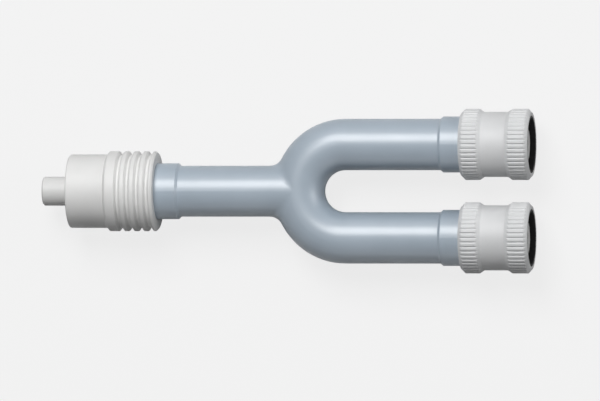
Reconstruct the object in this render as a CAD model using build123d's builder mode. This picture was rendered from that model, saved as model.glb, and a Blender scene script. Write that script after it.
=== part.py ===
from build123d import *
import os

# Tubing Y connector, lying flat. Lengths are in millimetres.
# +X runs along the stem from the inlet to the two outlets, +Y points to the left leg
# and +Z is up. The origin is on the ground, under the middle of the part.

# Y body: one tube that splits into two parallel legs
passage_radius = 3.2
tube_wall = 1.9
leg_spacing = 18.5
stem_run = 46.16              # end face of the stem to the centre of the bend
leg_run = 24.17               # centre of the bend to the end face of a leg
stem_relief = 0.05            # the stem is this much slimmer than the bend it runs into
crotch_fillet = 2.8
collar_height = 0.45          # step from the tube up to its thicker ends
inlet_collar_show = 4.7       # collar behind the inlet shell
inlet_collar_slope = 0.5
outlet_collar_show = 4.3      # collar behind each nut
outlet_collar_slope = 0.6

# Barbed tails, pressed into the ends of the tube
tail_length = 7.5
tail_lead = 0.6
barb_count = 3
barb_height = 0.35
barb_land = 0.4
socket_margin = 0.5           # full-size socket in the stem past the tail's tip

# Inlet: hollow nipple in a thin cup, with a ring grip behind the cup
nipple_radius = 2.88
inlet_bore_radius = 2.2
nipple_reach = 5.46           # nipple that stands out of the cup
cup_radius = 7.3
cup_wall = 0.4
cup_length = 8.08             # rim to the front of the grip
cup_depth = 5.0               # rim to the washer on the floor
rim_bevel = 0.2
shell_web = 2.0
inlet_flange_thickness = 1.2
inlet_flange_gap = 0.1
grip_height = 0.65            # step from the cup up to the grip
grip_shoulder = 0.5
grip_length = 9.52
grip_end_chamfer = 0.4
groove_count = 4
groove_pitch = 1.95
first_groove = 2.4            # front of the grip to the middle of the first groove
groove_depth = 0.72
groove_width = 1.24
groove_floor = 0.36           # width of a groove's flat floor

# Outlets: hollow spigot in a knurled nut, which turns on the neck behind the spigot
spigot_radius = 3.7
outlet_bore_radius = 1.6
spigot_recess = 0.9           # front of the nut to the end of the spigot
outlet_flange_thickness = 1.4
flange_overlap = 0.72         # flange that stands out past the hole in the nut's web
nut_length = 13.95
nut_bore_radius = 5.3
nut_wall = 1.14
nut_web = 1.5
nut_overlap = 0.8             # nut that reaches back over the collar
band_height = 0.61            # step from the waist up to the knurled bands
rear_band = 3.55
rear_band_slope = 0.9
front_band = 3.1
front_band_slope = 0.9
rear_chamfer = 0.8
front_chamfer = 0.7
face_height = 0.6             # flat front face round the ring
knurl_count = 48
knurl_depth = 0.25

# Both fittings
neck_step = 0.5               # neck over the spigot, or over the tail that passes through
tip_chamfer = 0.3

# Seals
washer_thickness = 1.0
washer_seat_height = 0.9      # boss on the flange that centres the washer
washer_seat_step = 0.25       # boss over the nipple or spigot
washer_margin = 0.5           # bare edge of the inlet flange round its washer
ring_length = 2.85            # the ring is flush with the front of the nut
ring_seat_depth = 0.4
ring_stand = 0.05             # ring that stands into the nut's bore

# Play of the nut
running_gap = 0.08            # radial, on the neck
end_play = 0.15               # axial, at each side of the nut's web
skirt_gap = 0.15              # radial, over the collar

# Radii that follow
tube_radius = passage_radius + tube_wall
collar_radius = tube_radius + collar_height
tail_root_radius = passage_radius - barb_height
inlet_neck_radius = passage_radius + neck_step
cup_bore_radius = cup_radius - cup_wall
inlet_flange_radius = cup_bore_radius - inlet_flange_gap
inlet_washer_radius = inlet_flange_radius - washer_margin
grip_radius = cup_radius + grip_height
outlet_neck_radius = spigot_radius + neck_step
web_hole_radius = outlet_neck_radius + running_gap
outlet_flange_radius = web_hole_radius + flange_overlap
skirt_bore_radius = collar_radius + skirt_gap
waist_radius = nut_bore_radius + nut_wall
band_radius = waist_radius + band_height
ring_seat_radius = nut_bore_radius + ring_seat_depth
ring_bore_radius = nut_bore_radius - ring_stand

# Stations of the inlet, measured outwards from the end face of the stem
inlet_flange_front = shell_web + inlet_flange_thickness
inlet_washer_front = inlet_flange_front + washer_thickness
cup_rim = inlet_washer_front + cup_depth
nipple_tip = cup_rim + nipple_reach
grip_front = cup_rim - cup_length
grip_rear = grip_front - grip_length

# Stations of an outlet, measured outwards from the end face of its leg
nut_rear = -nut_overlap
nut_front = nut_rear + nut_length
web_front = end_play + nut_web
outlet_flange_rear = web_front + end_play
outlet_flange_front = outlet_flange_rear + outlet_flange_thickness
outlet_washer_front = outlet_flange_front + washer_thickness
spigot_tip = nut_front - spigot_recess
ring_rear = nut_front - ring_length
front_band_rear = nut_front - front_chamfer - front_band

# Places in the part's frame
leg_offset = leg_spacing / 2
axis_height = max(grip_radius, band_radius)
overall_length = nipple_tip + stem_run + leg_run + nut_front
stem_end_x = nipple_tip - overall_length / 2
bend_x = stem_end_x + stem_run
leg_end_x = bend_x + leg_run
middle_plane = Plane.XY.offset(axis_height)
inlet_plane = Plane(origin=(stem_end_x, 0, axis_height), x_dir=(-1, 0, 0), z_dir=(0, 1, 0))
left_plane = Plane(origin=(leg_end_x, leg_offset, axis_height), x_dir=(1, 0, 0), z_dir=(0, -1, 0))
right_plane = Plane(origin=(leg_end_x, -leg_offset, axis_height), x_dir=(1, 0, 0), z_dir=(0, -1, 0))

# Each end of the tube has a working plane: x outwards along the tube, y up, and the
# tube's axis as the x axis. A turned piece is a half section in that plane, revolved.


def tube_axis(plane):
    """Axis of the tube at one of its ends."""
    return Axis(plane.origin, plane.x_dir)


def end_face_plane(plane):
    """Plane of the tube's end face, facing outwards."""
    return Plane(origin=plane.origin, z_dir=plane.x_dir)


def tail_outline(bore_radius):
    """Barbed tail from its tip back to the end face of the tube."""
    barb_pitch = (tail_length - tail_lead) / barb_count
    points = [(-tail_length, bore_radius), (-tail_length, tail_root_radius)]
    for barb in range(barb_count):
        foot = -tail_length + tail_lead + barb * barb_pitch
        crest = foot + barb_pitch / 2
        points.append((foot, tail_root_radius))
        points.append((crest, passage_radius))
        points.append((crest + barb_land, passage_radius))
        points.append((crest + barb_land, tail_root_radius))
    points.append((0, tail_root_radius))
    return points


def turned(plane, outline):
    """Piece of revolution from a half section."""
    with BuildPart() as piece:
        with BuildSketch(plane):
            with BuildLine():
                Polyline(*outline, close=True)
            make_face()
        revolve(axis=tube_axis(plane))
    return piece.part


def fitting_stem(plane, bore_radius, neck, flange, spigot):
    """Spigot, washer seat, flange, neck and barbed tail in one hollow piece.

    neck, flange and spigot are each (front station, radius).
    """
    outline = tail_outline(bore_radius)
    outline.append((0, neck[1]))
    outline.append(neck)
    outline.append((neck[0], flange[1]))
    outline.append(flange)
    outline.append((flange[0], spigot[1] + washer_seat_step))
    outline.append((flange[0] + washer_seat_height, spigot[1] + washer_seat_step))
    outline.append((flange[0] + washer_seat_height, spigot[1]))
    outline.append((spigot[0] - tip_chamfer, spigot[1]))
    outline.append((spigot[0], spigot[1] - tip_chamfer))
    outline.append((spigot[0], bore_radius))
    return turned(plane, outline)


def washer(plane, rear, spigot, outer_radius):
    """Flat face seal on a flange, round the boss at the foot of the spigot."""
    front = rear + washer_thickness
    inner_radius = spigot + washer_seat_step
    outline = [(rear, inner_radius), (rear, outer_radius), (front, outer_radius), (front, inner_radius)]
    return turned(plane, outline)


def collar(plane, length, slope):
    """Thicker end of the tube, with a slope back down to the tube."""
    foot_radius = tube_radius - stem_relief
    outline = [
        (0, 0),
        (0, collar_radius),
        (slope - length, collar_radius),
        (-length, foot_radius),
        (-length, 0),
    ]
    return turned(plane, outline)


# Y body: the bend and its legs are one sweep, and the stem runs into the back of the bend.
# Inside and out, the stem is slimmer by the relief, so the two surfaces cross cleanly.
# The longest seam between them is the outer one, and it is rounded last.
with BuildPart() as y_body:
    with BuildLine(middle_plane) as bend_path:
        Line((leg_end_x, leg_offset), (bend_x, leg_offset))
        CenterArc((bend_x, 0), leg_offset, 90, 180)
        Line((bend_x, -leg_offset), (leg_end_x, -leg_offset))
    leg_start = Plane(bend_path.wires()[0] @ 0, z_dir=bend_path.wires()[0] % 0)
    stem_start = Plane(origin=inlet_plane.origin, z_dir=(1, 0, 0))
    with BuildSketch(leg_start):
        Circle(tube_radius)
    sweep(path=bend_path.wires()[0])
    with BuildSketch(stem_start):
        Circle(tube_radius - stem_relief)
    extrude(amount=stem_run - leg_offset)
    add(collar(inlet_plane, inlet_collar_show - grip_rear, inlet_collar_slope))
    add(collar(left_plane, outlet_collar_show + nut_overlap, outlet_collar_slope))
    add(collar(right_plane, outlet_collar_show + nut_overlap, outlet_collar_slope))
    with BuildSketch(leg_start):
        Circle(passage_radius)
    sweep(path=bend_path.wires()[0], mode=Mode.SUBTRACT)
    with BuildSketch(stem_start):
        Circle(passage_radius - stem_relief)
    extrude(amount=stem_run - leg_offset, mode=Mode.SUBTRACT)
    with BuildSketch(stem_start):
        Circle(passage_radius)
    extrude(amount=tail_length + socket_margin, mode=Mode.SUBTRACT)
    seams = y_body.edges().filter_by(GeomType.BSPLINE).sort_by(SortBy.LENGTH)
    fillet(seams[-1], radius=crotch_fillet)


def groove_outline(middle):
    """One ring groove of the grip, from its front edge to its rear edge."""
    floor_radius = grip_radius - groove_depth
    return [
        (middle + groove_width / 2, grip_radius),
        (middle + groove_floor / 2, floor_radius),
        (middle - groove_floor / 2, floor_radius),
        (middle - groove_width / 2, grip_radius),
    ]


def inlet_shell_piece():
    """Thin cup, web and ring grip in one piece, clamped between flange and tube."""
    outline = [
        (cup_rim, cup_bore_radius),
        (cup_rim, cup_radius - rim_bevel),
        (cup_rim - rim_bevel, cup_radius),
        (grip_front + grip_shoulder, cup_radius),
        (grip_front, grip_radius),
    ]
    for groove in range(groove_count):
        outline += groove_outline(grip_front - first_groove - groove * groove_pitch)
    outline += [
        (grip_rear + grip_end_chamfer, grip_radius),
        (grip_rear, grip_radius - grip_end_chamfer),
        (grip_rear, collar_radius),
        (0, collar_radius),
        (0, inlet_neck_radius),
        (shell_web, inlet_neck_radius),
        (shell_web, cup_bore_radius),
    ]
    return turned(inlet_plane, outline)


def nut_piece(plane):
    """Outlet nut: two knurled bands, a plain waist, a web round the neck and a ring seat."""
    outline = [
        (nut_rear, skirt_bore_radius),
        (nut_rear, band_radius - rear_chamfer),
        (nut_rear + rear_chamfer, band_radius),
        (nut_rear + rear_band, band_radius),
        (nut_rear + rear_band + rear_band_slope, waist_radius),
        (front_band_rear - front_band_slope, waist_radius),
        (front_band_rear, band_radius),
        (nut_front - front_chamfer, band_radius),
        (nut_front, ring_seat_radius + face_height),
        (nut_front, ring_seat_radius),
        (ring_rear, ring_seat_radius),
        (ring_rear, nut_bore_radius),
        (web_front, nut_bore_radius),
        (web_front, web_hole_radius),
        (end_play, web_hole_radius),
        (end_play, skirt_bore_radius),
    ]
    with BuildPart() as nut:
        add(turned(plane, outline))
        with BuildSketch(end_face_plane(plane).offset(nut_rear)):
            with PolarLocations(band_radius, knurl_count):
                Rectangle(knurl_depth * 2**0.5, knurl_depth * 2**0.5, rotation=45)
        extrude(amount=nut_length, mode=Mode.SUBTRACT)
    return nut.part


def ring_piece(plane):
    """Rubber ring in the mouth of the nut."""
    outline = [
        (ring_rear, ring_bore_radius),
        (ring_rear, ring_seat_radius),
        (nut_front, ring_seat_radius),
        (nut_front, ring_bore_radius),
    ]
    return turned(plane, outline)


pieces = {
    "y_body": y_body.part,
    "inlet_shell": inlet_shell_piece(),
    "inlet_stem": fitting_stem(
        inlet_plane,
        inlet_bore_radius,
        neck=(shell_web, inlet_neck_radius),
        flange=(inlet_flange_front, inlet_flange_radius),
        spigot=(nipple_tip, nipple_radius),
    ),
    "inlet_washer": washer(inlet_plane, inlet_flange_front, nipple_radius, inlet_washer_radius),
}
for side, plane in (("left", left_plane), ("right", right_plane)):
    pieces[side + "_stem"] = fitting_stem(
        plane,
        outlet_bore_radius,
        neck=(outlet_flange_rear, outlet_neck_radius),
        flange=(outlet_flange_front, outlet_flange_radius),
        spigot=(spigot_tip, spigot_radius),
    )
    pieces[side + "_washer"] = washer(plane, outlet_flange_front, spigot_radius, outlet_flange_radius)
    pieces[side + "_nut"] = nut_piece(plane)
    pieces[side + "_ring"] = ring_piece(plane)

os.makedirs("parts", exist_ok=True)
for name, piece in pieces.items():
    piece.label = name
    export_step(piece, "parts/" + name + ".step")
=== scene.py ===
# %% [markdown]
# # A tubing Y connector
# One moulded tube splits into two legs. A nipple in a thin cup feeds it, and a knurled
# nut turns on the end of each leg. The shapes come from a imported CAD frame, which must
# not move. This lesson dresses that frame: it rounds the edges that catch the light,
# gives every plastic and rubber its finish, and sets up the studio.

# %% Load the frame
import math
import bmesh
import bpy
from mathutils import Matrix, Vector


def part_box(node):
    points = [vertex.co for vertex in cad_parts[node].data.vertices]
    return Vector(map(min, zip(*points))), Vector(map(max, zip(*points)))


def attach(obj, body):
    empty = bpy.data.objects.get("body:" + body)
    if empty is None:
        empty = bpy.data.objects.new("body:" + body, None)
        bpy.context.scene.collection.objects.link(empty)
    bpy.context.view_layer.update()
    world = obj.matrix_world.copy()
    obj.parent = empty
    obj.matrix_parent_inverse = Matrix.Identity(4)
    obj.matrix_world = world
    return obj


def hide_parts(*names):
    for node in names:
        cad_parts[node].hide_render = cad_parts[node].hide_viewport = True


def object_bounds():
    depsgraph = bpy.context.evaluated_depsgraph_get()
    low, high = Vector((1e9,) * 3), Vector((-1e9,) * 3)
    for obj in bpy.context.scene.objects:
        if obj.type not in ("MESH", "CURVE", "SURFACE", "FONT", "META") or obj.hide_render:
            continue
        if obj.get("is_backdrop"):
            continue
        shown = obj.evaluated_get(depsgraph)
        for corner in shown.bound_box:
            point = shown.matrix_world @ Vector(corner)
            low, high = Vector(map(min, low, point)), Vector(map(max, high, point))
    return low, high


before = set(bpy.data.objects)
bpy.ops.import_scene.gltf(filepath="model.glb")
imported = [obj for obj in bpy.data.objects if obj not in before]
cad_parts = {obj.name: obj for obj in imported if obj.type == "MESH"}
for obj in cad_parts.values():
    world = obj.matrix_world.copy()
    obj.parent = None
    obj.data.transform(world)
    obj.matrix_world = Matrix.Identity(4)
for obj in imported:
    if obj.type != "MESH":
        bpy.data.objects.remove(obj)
cad_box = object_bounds()
print("CAD nodes:", sorted(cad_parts))

# %% [markdown]
# ## Measure the frame
# The places are read from the frame, so none is typed twice: the height of the tube's
# axis comes from the box of the tube, and each leg's line from the box of its nut. The
# scene's lengths are in metres, so a small constant turns millimetres into metres where
# a size is this lesson's own.

# %% Places read from the frame
MM = 0.001
body_low, body_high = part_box("y_body")
axis_height = (body_low.z + body_high.z) / 2
leg_lines = {}
for side in ("left", "right"):
    low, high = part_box(side + "_nut")
    leg_lines[side] = (low.y + high.y) / 2
print("axis height", round(axis_height / MM, 3), "mm, leg lines", leg_lines)

# %% [markdown]
# ## One helper for nodes, one for colours
# Materials and Geometry Nodes are both trees of nodes, so one function serves both: it
# adds a node, sets its properties, and gives each named input a value or a link. Most
# nodes are wanted for their first output, so a node can be handed over as it is.
#
# A colour is easiest to pick and compare as sRGB hex, but shaders reckon in linear
# light, so a second function converts it.

# %% Add a node, and read a colour


def add_node(tree, kind, inputs=None, **settings):
    """A new node, whose inputs are values, sockets, or nodes that give their first output."""
    made = tree.nodes.new(kind)
    for name, value in settings.items():
        setattr(made, name, value)
    for name, value in (inputs or {}).items():
        if isinstance(value, bpy.types.Node):
            value = value.outputs[0]
        if isinstance(value, bpy.types.NodeSocket):
            tree.links.new(value, made.inputs[name])
        else:
            made.inputs[name].default_value = value
    return made


def linear(hex_colour):
    """An sRGB hex colour as linear red, green, blue and alpha."""
    channels = []
    for start in (0, 2, 4):
        value = int(hex_colour[start:start + 2], 16) / 255
        channels.append(value / 12.92 if value <= 0.04045 else ((value + 0.055) / 1.055) ** 2.4)
    return (*channels, 1.0)


print("mid grey is", [round(c, 3) for c in linear("808080")])

# %% [markdown]
# ## What all moulded finishes share
# A moulded surface is never one flat colour. It drifts by a percent or two where the melt
# cooled unevenly, it is a little glossier where it has been handled, and it carries the
# grain of its mould. An image could show all that, but it would need a flat map of the
# surface. Noise on Object coordinates needs none, and it stays put in every view. Each
# noise is sized by its patches in millimetres.

# %% Drift of colour


def new_material(name):
    """An empty material and its tree."""
    material = bpy.data.materials.new(name)
    material.use_nodes = True
    tree = material.node_tree
    tree.nodes.clear()
    return material, tree


def noise_scale(size_mm):
    """The scale of a noise whose patches have this size."""
    return 1 / (size_mm * MM)


# Noise seldom leaves the middle of its range, so a colour ramp spans only that middle.
COLOUR_STOPS = (0.35, 0.65)


def drifting_colour(tree, where, dark, light, size_mm):
    """A colour that drifts between two close shades."""
    settings = {"Vector": where, "Scale": noise_scale(size_mm), "Detail": 3.0}
    patches = add_node(tree, "ShaderNodeTexNoise", settings)
    ramp = add_node(tree, "ShaderNodeValToRGB", {"Fac": patches})
    for stop, place, shade in zip(ramp.color_ramp.elements, COLOUR_STOPS, (dark, light)):
        stop.position = place
        stop.color = linear(shade)
    return ramp


print("patches of 9 mm need a noise scale of", round(noise_scale(9.0)))

# %% Grain and gloss
NOISE_LOW = 0.3
NOISE_HIGH = 0.7


def mould_grain(tree, where, size_mm, depth_mm, strength):
    """The even grain of a spark-eroded mould, as a bump."""
    settings = {"Vector": where, "Scale": noise_scale(size_mm), "Detail": 2.0}
    grain = add_node(tree, "ShaderNodeTexNoise", settings)
    bump = {"Height": grain, "Distance": depth_mm * MM, "Strength": strength}
    return add_node(tree, "ShaderNodeBump", bump)


def uneven_roughness(tree, where, size_mm, lowest, highest):
    """Roughness that varies a little, as handled plastic does."""
    settings = {"Vector": where, "Scale": noise_scale(size_mm), "Detail": 4.0}
    patches = add_node(tree, "ShaderNodeTexNoise", settings)
    spread = {"Value": patches, "From Min": NOISE_LOW, "From Max": NOISE_HIGH}
    return add_node(tree, "ShaderNodeMapRange", {**spread, "To Min": lowest, "To Max": highest})


def finish_surface(tree, colour, roughness, normal, ior):
    """The shader that all three finishes use. IOR is one number, set on its own socket."""
    inputs = {"Base Color": colour, "Roughness": roughness, "Normal": normal, "IOR": ior}
    surface = add_node(tree, "ShaderNodeBsdfPrincipled", inputs)
    add_node(tree, "ShaderNodeOutputMaterial", {"Surface": surface})
    return surface


print("roughness follows noise from", NOISE_LOW, "to", NOISE_HIGH)

# %% [markdown]
# ## Moulded blue-grey nylon
# The tube is injection-moulded nylon with a satin skin. Its mould was spark-eroded, and
# that leaves a grain finer than a tenth of a millimetre, which spreads the highlight. No
# pixel would show it, so it is drawn a few times as coarse. Over it lies the thin,
# smoother skin that forms where the melt meets the mould. A soft highlight with a brighter
# core is what the eye sees of that, and a coat over a rougher base gives both.

# %% The tube's nylon


def moulded_nylon():
    material, tree = new_material("moulded_blue_grey_nylon")
    where = add_node(tree, "ShaderNodeTexCoord").outputs["Object"]
    colour = drifting_colour(tree, where, dark="99A6B2", light="9FACB8", size_mm=9.0)
    roughness = uneven_roughness(tree, where, size_mm=5.0, lowest=0.45, highest=0.5)
    normal = mould_grain(tree, where, size_mm=0.35, depth_mm=0.01, strength=0.25)
    surface = finish_surface(tree, colour, roughness, normal, ior=1.53)
    surface.inputs["Specular IOR Level"].default_value = 0.8
    surface.inputs["Coat Weight"].default_value = 0.6
    surface.inputs["Coat Roughness"].default_value = 0.28
    return material


nylon = moulded_nylon()
print("made", nylon.name)

# %% [markdown]
# ## Pale grey acetal
# The fittings are moulded and turned acetal, a waxy and rather matt plastic, so they get
# one broad highlight and no coat. The nuts are a shade cooler and darker than the cup, so
# one function makes both colours. The grain is drawn coarser here too.

# %% The fittings' acetal


def pale_acetal(name, dark, light):
    material, tree = new_material(name)
    where = add_node(tree, "ShaderNodeTexCoord").outputs["Object"]
    colour = drifting_colour(tree, where, dark, light, size_mm=6.0)
    roughness = uneven_roughness(tree, where, size_mm=3.0, lowest=0.46, highest=0.56)
    normal = mould_grain(tree, where, size_mm=0.3, depth_mm=0.01, strength=0.3)
    finish_surface(tree, colour, roughness, normal, ior=1.48)
    return material


shell_acetal = pale_acetal("pale_grey_acetal", dark="E0E0DF", light="E5E5E4")
nut_acetal = pale_acetal("pale_grey_nut_acetal", dark="D4D5D6", light="DADBDC")
print("made", shell_acetal.name, "and", nut_acetal.name)

# %% [markdown]
# ## Black nitrile rubber
# The seals and the mouths' rings are moulded nitrile rubber: nearly black, with a skin so
# dull that it reflects only half as much as a plain plastic. A plain black would lose
# their form, so the roughness varies more than on the plastics.

# %% The seals' rubber


def black_rubber():
    material, tree = new_material("black_nitrile_rubber")
    where = add_node(tree, "ShaderNodeTexCoord").outputs["Object"]
    colour = drifting_colour(tree, where, dark="070708", light="101011", size_mm=1.5)
    roughness = uneven_roughness(tree, where, size_mm=1.0, lowest=0.55, highest=0.75)
    normal = mould_grain(tree, where, size_mm=0.2, depth_mm=0.01, strength=0.5)
    surface = finish_surface(tree, colour, roughness, normal, ior=1.52)
    surface.inputs["Specular IOR Level"].default_value = 0.25
    return material


rubber = black_rubber()
print("made", rubber.name)

# %% [markdown]
# ## The section of a turned piece
# The cup, the nuts, the stems and the seals are all bodies of revolution. Their radii
# could be typed again, but then they could go wrong. Slicing a CAD node with a half plane
# through its axis gives its section instead.
#
# A CAD node is a heap of loose triangles, so a copy is merged before the slice, and the
# points that the slice leaves in the middle of a straight line are dissolved. The loop is
# drawn with the radius along X and the part's own X along minus Y, which is how Curve to
# Mesh wants a profile that goes round the Z axis.

# %% Slice a CAD node
SAME_POINT = 0.001 * MM
ON_THE_PLANE = 1e-8
SAME_CORNER = 0.004 * MM
STRAIGHT_WITHIN = math.radians(1)


def half_section(node, axis_y, lean):
    """Outline of a turned CAD node, cut by a half plane that leans by this angle from +Y."""
    shape = bmesh.new()
    shape.from_mesh(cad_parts[node].data)
    bmesh.ops.remove_doubles(shape, verts=shape.verts, dist=SAME_POINT)
    centre = Vector((0, axis_y, axis_height))
    outwards = Vector((0, math.cos(lean), math.sin(lean)))
    across = Vector((0, -math.sin(lean), math.cos(lean)))
    everything = shape.verts[:] + shape.edges[:] + shape.faces[:]
    sliced = bmesh.ops.bisect_plane(
        shape, geom=everything, dist=ON_THE_PLANE, plane_co=centre, plane_no=across
    )
    # The plane cuts both sides of the piece, and one side is enough.
    edges = []
    for part in sliced["geom_cut"]:
        if isinstance(part, bmesh.types.BMEdge):
            if all((vert.co - centre).dot(outwards) > 0 for vert in part.verts):
                edges.append(part)
    # Each point gets its number when it is first met.
    order = {}
    for edge in edges:
        for vert in edge.verts:
            order.setdefault(vert, len(order))
    points = [((vert.co - centre).dot(outwards), -vert.co.x, 0) for vert in order]
    mesh = bpy.data.meshes.new(node + "_section")
    mesh.from_pydata(points, [[order[vert] for vert in edge.verts] for edge in edges], [])
    shape.free()
    outline = bmesh.new()
    outline.from_mesh(mesh)
    bmesh.ops.remove_doubles(outline, verts=outline.verts, dist=SAME_CORNER)
    bmesh.ops.dissolve_limit(
        outline, angle_limit=STRAIGHT_WITHIN, verts=outline.verts, edges=outline.edges
    )
    outline.to_mesh(mesh)
    outline.free()
    print(node, "section has", len(mesh.vertices), "corners and", len(mesh.edges), "edges")
    return mesh


print("corners closer than", SAME_CORNER / MM, "mm become one")

# %% [markdown]
# ## The knurl as a rule
# A knurling wheel presses V grooves into the turned nut. Cutting 48 wedges out of a mesh
# would be slow and leave torn edges. A rule is simpler: near each groove's middle, no
# point may be further out than the groove's own floor and walls. It only asks for a
# point's radius and angle, so it treats crests, slopes and chamfers alike, and it leaves
# the waist between the two bands alone, because the waist lies deeper than any groove.

# %% Press the grooves


def cut_knurl(tree, shape, given):
    """Presses the grooves of the knurl into a shape that is turned round the Z axis."""
    crest = given["Crest Radius"]
    place = add_node(tree, "GeometryNodeInputPosition")
    flat = add_node(tree, "ShaderNodeVectorMath", {0: place, 1: (1, 1, 0)}, operation="MULTIPLY")
    radius = add_node(tree, "ShaderNodeVectorMath", {0: flat}, operation="LENGTH").outputs["Value"]
    axes = add_node(tree, "ShaderNodeSeparateXYZ", {"Vector": place}).outputs
    angle = add_node(tree, "ShaderNodeMath", {0: axes["Y"], 1: axes["X"]}, operation="ARCTAN2")
    turns = add_node(tree, "ShaderNodeMath", {0: angle, 1: 2 * math.pi}, operation="DIVIDE")
    teeth = add_node(tree, "ShaderNodeMath", {0: turns, 1: given["Teeth"]}, operation="MULTIPLY")
    # Counting up and down over half a tooth tells how far the nearest groove's middle is.
    tooth_part = add_node(tree, "ShaderNodeMath", {0: teeth, 1: 0.5}, operation="PINGPONG")
    rim = add_node(tree, "ShaderNodeMath", {0: crest, 1: 2 * math.pi}, operation="MULTIPLY")
    pitch = add_node(tree, "ShaderNodeMath", {0: rim, 1: given["Teeth"]}, operation="DIVIDE")
    offset = add_node(tree, "ShaderNodeMath", {0: tooth_part, 1: pitch}, operation="MULTIPLY")
    wall = {"Value": offset, "From Min": 0.0, "From Max": given["Groove Half Width"]}
    rise = add_node(tree, "ShaderNodeMapRange", wall, interpolation_type="SMOOTHSTEP")
    missing = add_node(tree, "ShaderNodeMath", {0: 1.0, 1: rise}, operation="SUBTRACT")
    sunk = add_node(tree, "ShaderNodeMath", {0: missing, 1: given["Groove Depth"]}, operation="MULTIPLY")
    allowed = add_node(tree, "ShaderNodeMath", {0: crest, 1: sunk}, operation="SUBTRACT")
    pressed = add_node(tree, "ShaderNodeMath", {0: radius, 1: allowed}, operation="MINIMUM")
    share = add_node(tree, "ShaderNodeMath", {0: pressed, 1: radius}, operation="DIVIDE")
    scale = add_node(tree, "ShaderNodeCombineXYZ", {"X": share, "Y": share, "Z": 1.0})
    moved = add_node(tree, "ShaderNodeVectorMath", {0: place, 1: scale}, operation="MULTIPLY")
    return add_node(tree, "GeometryNodeSetPosition", {"Geometry": shape, "Position": moved})


# A groove of no depth, far outside any piece, is the knurl of a piece that has none.
NO_KNURL = {"Teeth": 1, "Crest Radius": 1.0, "Groove Depth": 0.0, "Groove Half Width": 0.1}
print("a knurl is set by", ", ".join(NO_KNURL))

# %% [markdown]
# ## One tree for every turned piece
# No moulded edge is dead sharp, and a rounded edge catches a thin line of light, so the
# tree first rounds the section's corners. A bevel on the finished solid would do that
# too, but it is slower and fails where edges crowd. Then the tree sweeps the section
# round a small circle, the hub, presses the knurl, and lays the piece along the tube.

# %% Build the turned piece tree
HUB = 1 * MM


def group_tree(name, inputs, output):
    """A tree with named inputs and one output, and the sockets that carry the inputs."""
    tree = bpy.data.node_groups.new(name, "GeometryNodeTree")
    for label, kind in inputs.items():
        tree.interface.new_socket(label, in_out="INPUT", socket_type="NodeSocket" + kind)
    tree.interface.new_socket(output, in_out="OUTPUT", socket_type="NodeSocketGeometry")
    return tree, add_node(tree, "NodeGroupInput").outputs


def turned_piece_tree():
    inputs = {
        "Section": "Geometry",
        "Segments": "Int",
        "Edge Radius": "Float",
        "Edge Steps": "Int",
        "Axis Place": "Vector",
        "Teeth": "Int",
        "Crest Radius": "Float",
        "Groove Depth": "Float",
        "Groove Half Width": "Float",
        "Finish": "Material",
    }
    tree, given = group_tree("turned_piece", inputs, "Piece")
    outline = add_node(tree, "GeometryNodeMeshToCurve", {"Mesh": given["Section"]})
    fillet = {"Curve": outline, "Count": given["Edge Steps"], "Radius": given["Edge Radius"]}
    rounded = add_node(tree, "GeometryNodeFilletCurve", {**fillet, "Limit Radius": True}, mode="POLY")
    profile = add_node(tree, "GeometryNodeTransform", {"Geometry": rounded, "Translation": (-HUB, 0, 0)})
    hub = {"Resolution": given["Segments"], "Radius": HUB}
    circle = add_node(tree, "GeometryNodeCurvePrimitiveCircle", hub)
    path = add_node(tree, "GeometryNodeSetCurveNormal", {"Curve": circle}, mode="Z_UP")
    spun = add_node(tree, "GeometryNodeCurveToMesh", {"Curve": path, "Profile Curve": profile})
    knurled = cut_knurl(tree, spun, given)
    lie_down = {"Rotation": (0, math.pi / 2, 0), "Translation": given["Axis Place"]}
    laid = add_node(tree, "GeometryNodeTransform", {"Geometry": knurled, **lie_down})
    smooth = add_node(tree, "GeometryNodeSetShadeSmooth", {"Geometry": laid})
    real = add_node(tree, "GeometryNodeRealizeInstances", {"Geometry": smooth})
    done = add_node(tree, "GeometryNodeSetMaterial", {"Geometry": real, "Material": given["Finish"]})
    add_node(tree, "NodeGroupOutput", {"Piece": done})
    return tree


turned_piece = turned_piece_tree()
print(turned_piece.name, "has", len(turned_piece.nodes), "nodes")

# %% [markdown]
# ## From tree to plain mesh
# A finished piece has no live tree: the evaluated result is copied to a plain mesh, and
# its faces are turned outwards. Smooth shading alone would bend the light over the long
# faces too. A Weighted Normal modifier lets them shade flat, so that only the rounded
# edges bend it.

# %% Run a tree and keep its mesh


def evaluated_mesh(holder):
    """The mesh that an object shows once its modifiers have run."""
    return bpy.data.meshes.new_from_object(holder.evaluated_get(bpy.context.evaluated_depsgraph_get()))


def run_tree(name, mesh, tree, values):
    """A plain mesh object, made by running a tree on a mesh."""
    piece = bpy.data.objects.new(name, mesh)
    bpy.context.scene.collection.objects.link(piece)
    modifier = piece.modifiers.new("tree", "NODES")
    modifier.node_group = tree
    # A modifier knows its inputs by the sockets' identifiers, not by their names.
    for socket in tree.interface.items_tree:
        if socket.name in values:
            modifier[socket.identifier] = values[socket.name]
    result = evaluated_mesh(piece)
    piece.modifiers.remove(modifier)
    outward = bmesh.new()
    outward.from_mesh(result)
    bmesh.ops.recalc_face_normals(outward, faces=outward.faces)
    outward.to_mesh(result)
    outward.free()
    piece.data = result
    weighted = piece.modifiers.new("weighted", "WEIGHTED_NORMAL")
    piece.data = evaluated_mesh(piece)
    piece.modifiers.remove(weighted)
    piece.data.name = name
    print(name, "has", len(piece.data.polygons), "faces")
    return piece


print("ready to run", turned_piece.name)

# %% [markdown]
# ## From CAD node to turned piece
# Each turned piece stands for one CAD node, rides on that node's body and takes the finish
# it is given. The half plane leans a hair past the upright, because the seam of the CAD
# mesh stands upright, and a slice along a seam has no clear outline.

# %% Turn one piece
PAST_THE_SEAM = math.radians(90.01)


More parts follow.
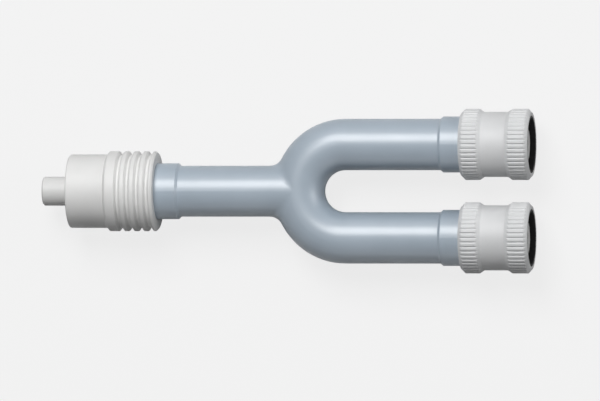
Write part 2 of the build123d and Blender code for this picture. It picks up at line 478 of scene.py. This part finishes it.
def turn_piece(
    name,
    node,
    body,
    finish,
    segments=160,
    edge_mm=0.1,
    edge_steps=3,
    lean=PAST_THE_SEAM,
    knurl=NO_KNURL,
):
    """Makes the dressed version of a turned CAD node, and lets it stand for that node."""
    axis_y = leg_lines.get(node.split("_")[0], 0.0)
    values = {
        "Segments": segments,
        "Edge Radius": edge_mm * MM,
        "Edge Steps": edge_steps,
        "Axis Place": (0.0, axis_y, axis_height),
        "Finish": finish,
        **knurl,
    }
    piece = run_tree(name, half_section(node, axis_y, lean), turned_piece, values)
    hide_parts(node)
    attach(piece, body)


print("slices lean by", round(math.degrees(PAST_THE_SEAM), 2), "degrees")

# %% [markdown]
# ## The inlet
# The cup, its web and the ring grip are one moulding, pushed over the end of the tube.
# The nipple stands in the cup. The grip's rings could be added one by one, but they are
# in the section already, so one turn makes them all. The cup is wider than the nipple and
# its edges are softer, so it gets more segments and more steps to an edge.

# %% Turn the inlet's pieces
turn_piece(
    "inlet_cup",
    "inlet_shell",
    "connector",
    shell_acetal,
    segments=192,
    edge_mm=0.16,
    edge_steps=4,
)
turn_piece("inlet_nipple", "inlet_stem", "connector", shell_acetal, edge_mm=0.08)
turn_piece("inlet_seal", "inlet_washer", "connector", rubber, edge_mm=0.08)

# %% [markdown]
# ## The outlets
# Each nut is knurled on two bands with fine V grooves, as wide at the rim as twice their
# depth. There are 48 of them, and each gets twelve samples, so the grooves keep crisp
# walls. The nut's section is sliced through the middle of a tooth, where it is whole. The
# two sides differ only in their line, so a loop makes both.

# %% Turn the outlets' pieces
KNURL_TEETH = 48
GROOVE_DEPTH = 0.25
TOOTH_SAMPLES = 12
tooth_middle = math.pi / KNURL_TEETH
for side in ("left", "right"):
    coupling = side + "_coupling"
    nut_low, nut_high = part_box(side + "_nut")
    nut_knurl = {
        "Teeth": KNURL_TEETH,
        "Crest Radius": (nut_high.z - nut_low.z) / 2,
        "Groove Depth": GROOVE_DEPTH * MM,
        "Groove Half Width": GROOVE_DEPTH * MM,
    }
    turn_piece(
        side + "_knurled_nut",
        side + "_nut",
        coupling,
        nut_acetal,
        segments=KNURL_TEETH * TOOTH_SAMPLES,
        lean=math.pi / 2 + tooth_middle,
        knurl=nut_knurl,
    )
    turn_piece(side + "_mouth_ring", side + "_ring", coupling, rubber, edge_mm=0.15)
    turn_piece(side + "_spigot", side + "_stem", "connector", shell_acetal, edge_mm=0.08)
    turn_piece(side + "_seal", side + "_washer", "connector", rubber, edge_mm=0.08)

# %% [markdown]
# ## The tube
# The tube is one moulding: a stem, a U bend, two legs and a thicker collar at each end. It
# could be swept again here, but its CAD mesh already has the round bend and the soft seam
# where stem and bend meet. So it keeps that mesh and only gets its finish.

# %% Dress the CAD node that stays
body_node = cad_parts["y_body"]
body_node.material_slots[0].material = nylon
print("dressed", body_node.name)

# %% [markdown]
# ## The floor
# The photo has an even, near-white page behind the part. A floor that really were that
# bright would throw white light up under every curve, where the photo is dark. So the
# floor tells its rays apart. The camera sees a pale page that still takes the part's soft
# shadow. Gloss mirrors pale paper, and the light that bounces meets a dark floor.

# %% Make the floor
FLOOR_SIZE = 24.0


def reflected_rays(tree):
    """1 for rays that show a background by reflection or through glass."""
    rays = add_node(tree, "ShaderNodeLightPath").outputs
    both = {0: rays["Is Glossy Ray"], 1: rays["Is Transmission Ray"]}
    return add_node(tree, "ShaderNodeMath", both, operation="MAXIMUM")


def studio_paper():
    material, tree = new_material("pale_studio_paper")
    rays = add_node(tree, "ShaderNodeLightPath").outputs
    faint = add_node(tree, "ShaderNodeBsdfDiffuse", {"Color": linear("595959")})
    glow = add_node(tree, "ShaderNodeEmission", {"Color": linear("E8E8E8"), "Strength": 1.0})
    page = add_node(tree, "ShaderNodeAddShader", {0: faint, 1: glow})
    paper = add_node(tree, "ShaderNodeBsdfDiffuse", {"Color": linear("F1F1F1")})
    dark = add_node(tree, "ShaderNodeBsdfDiffuse", {"Color": linear("616161")})
    mirrored = add_node(tree, "ShaderNodeMixShader", {"Fac": reflected_rays(tree), 1: dark, 2: paper})
    seen = add_node(tree, "ShaderNodeMixShader", {"Fac": rays["Is Camera Ray"], 1: mirrored, 2: page})
    add_node(tree, "ShaderNodeOutputMaterial", {"Surface": seen})
    return material


half = FLOOR_SIZE / 2
corners = [(-half, -half, 0), (half, -half, 0), (half, half, 0), (-half, half, 0)]
floor_mesh = bpy.data.meshes.new("studio_floor")
floor_mesh.from_pydata(corners, [], [(0, 1, 2, 3)])
floor_mesh.materials.append(studio_paper())
floor = bpy.data.objects.new("studio_floor", floor_mesh)
bpy.context.scene.collection.objects.link(floor)
floor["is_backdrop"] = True
print("the floor is", FLOOR_SIZE, "m wide")

# %% [markdown]
# ## The world
# The world is the room round the studio. It tells its rays apart as the floor does: the
# camera and the gloss see a pale backdrop, while its light on the part is very dim, so
# that the lamps alone shape it.

# %% Make the world


def studio_world():
    world = bpy.data.worlds.new("studio_world")
    world.use_nodes = True
    tree = world.node_tree
    tree.nodes.clear()
    pale = add_node(tree, "ShaderNodeBackground", {"Color": linear("EBEBEB"), "Strength": 1.0})
    dim = add_node(tree, "ShaderNodeBackground", {"Color": linear("FCFDFF"), "Strength": 0.05})
    camera_ray = add_node(tree, "ShaderNodeLightPath").outputs["Is Camera Ray"]
    either = {0: camera_ray, 1: reflected_rays(tree)}
    background_ray = add_node(tree, "ShaderNodeMath", either, operation="MAXIMUM")
    sky = add_node(tree, "ShaderNodeMixShader", {"Fac": background_ray, 1: dim, 2: pale})
    add_node(tree, "ShaderNodeOutputWorld", {"Surface": sky})
    return world


bpy.context.scene.world = studio_world()
print("made", bpy.context.scene.world.name)

# %% [markdown]
# ## The lamps
# Nearly all the light comes from one key lamp. A tube shows its highlight only where the
# lamp is mirrored, so the key leans along the tube to one side, about as far as the camera
# leans to the other. Three weaker lamps open the dark sides: one behind the part, one in
# front, and one that faces the outlets' mouths. Wide lamps give soft shadows, so all four
# are area lamps.

# %% Hang the lamps
LIGHT_DISTANCE = 0.6


def soft_light(name, towards, strength, width, depth):
    """An area lamp that gives a white surface facing it the brightness strength."""
    data = bpy.data.lights.new(name, "AREA")
    data.shape = "RECTANGLE"
    data.size = width
    data.size_y = depth
    data.energy = strength * (math.pi * LIGHT_DISTANCE) ** 2
    light = bpy.data.objects.new(name, data)
    direction = Vector(towards).normalized()
    light.location = Vector((0, 0, axis_height)) + LIGHT_DISTANCE * direction
    light.rotation_euler = direction.to_track_quat("Z", "Y").to_euler()
    bpy.context.scene.collection.objects.link(light)
    print(name, "gives", round(data.energy, 2), "W")


soft_light("key", towards=(-0.13, 0.51, 0.86), strength=0.86, width=0.24, depth=0.34)
soft_light("back", towards=(0.0, 0.9, 0.4), strength=0.07, width=0.4, depth=0.3)
soft_light("front", towards=(0.2, -0.95, 0.2), strength=0.09, width=0.4, depth=0.3)
soft_light("outlet_end", towards=(0.92, 0.2, 0.3), strength=0.26, width=0.3, depth=0.3)

# %% [markdown]
# ## Camera
# The photo looks down on the part, with the stem to the left and the mouths just in
# view, so the camera leans a little towards the outlets. A long lens keeps the legs
# nearly parallel, as they are in the photo, and leans about as much at both ends. The
# distance follows from the lens and from the width that the photo takes in.

# %% Place the camera
LENS_LENGTH = 900
SENSOR_WIDTH = 36
VIEW_WIDTH = 119.0 * MM
VIEW_MIDDLE_X = 2.58 * MM
VIEW_MIDDLE_Y = -1.85 * MM
VIEW_LEAN = math.radians(9.4)
camera_data = bpy.data.cameras.new("camera")
camera_data.lens = LENS_LENGTH
camera_data.sensor_width = SENSOR_WIDTH
camera = bpy.data.objects.new("camera", camera_data)
view_distance = VIEW_WIDTH * LENS_LENGTH / SENSOR_WIDTH
view_target = Vector((VIEW_MIDDLE_X, VIEW_MIDDLE_Y, axis_height))
camera.location = view_target + view_distance * Vector((math.sin(VIEW_LEAN), 0, math.cos(VIEW_LEAN)))
camera.rotation_euler = (0, VIEW_LEAN, 0)
bpy.context.scene.collection.objects.link(camera)
bpy.context.scene.camera = camera
bpy.context.scene.view_settings.view_transform = "Standard"
print("camera stands", round(view_distance, 3), "m away")

# %% [markdown]
# ## Measure the dressed part
# Both boxes are measured, and the script prints how far each corner of the dressed part's
# box lies from the CAD model's. The dressed part may not be larger than the CAD model.

# %% Compare the dressed part with the CAD box
dressed_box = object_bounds()
for label, before, after in zip(("low", "high"), cad_box, dressed_box):
    print(label, "corner moved by", [round((b - a) / MM, 3) for a, b in zip(before, after)], "mm")
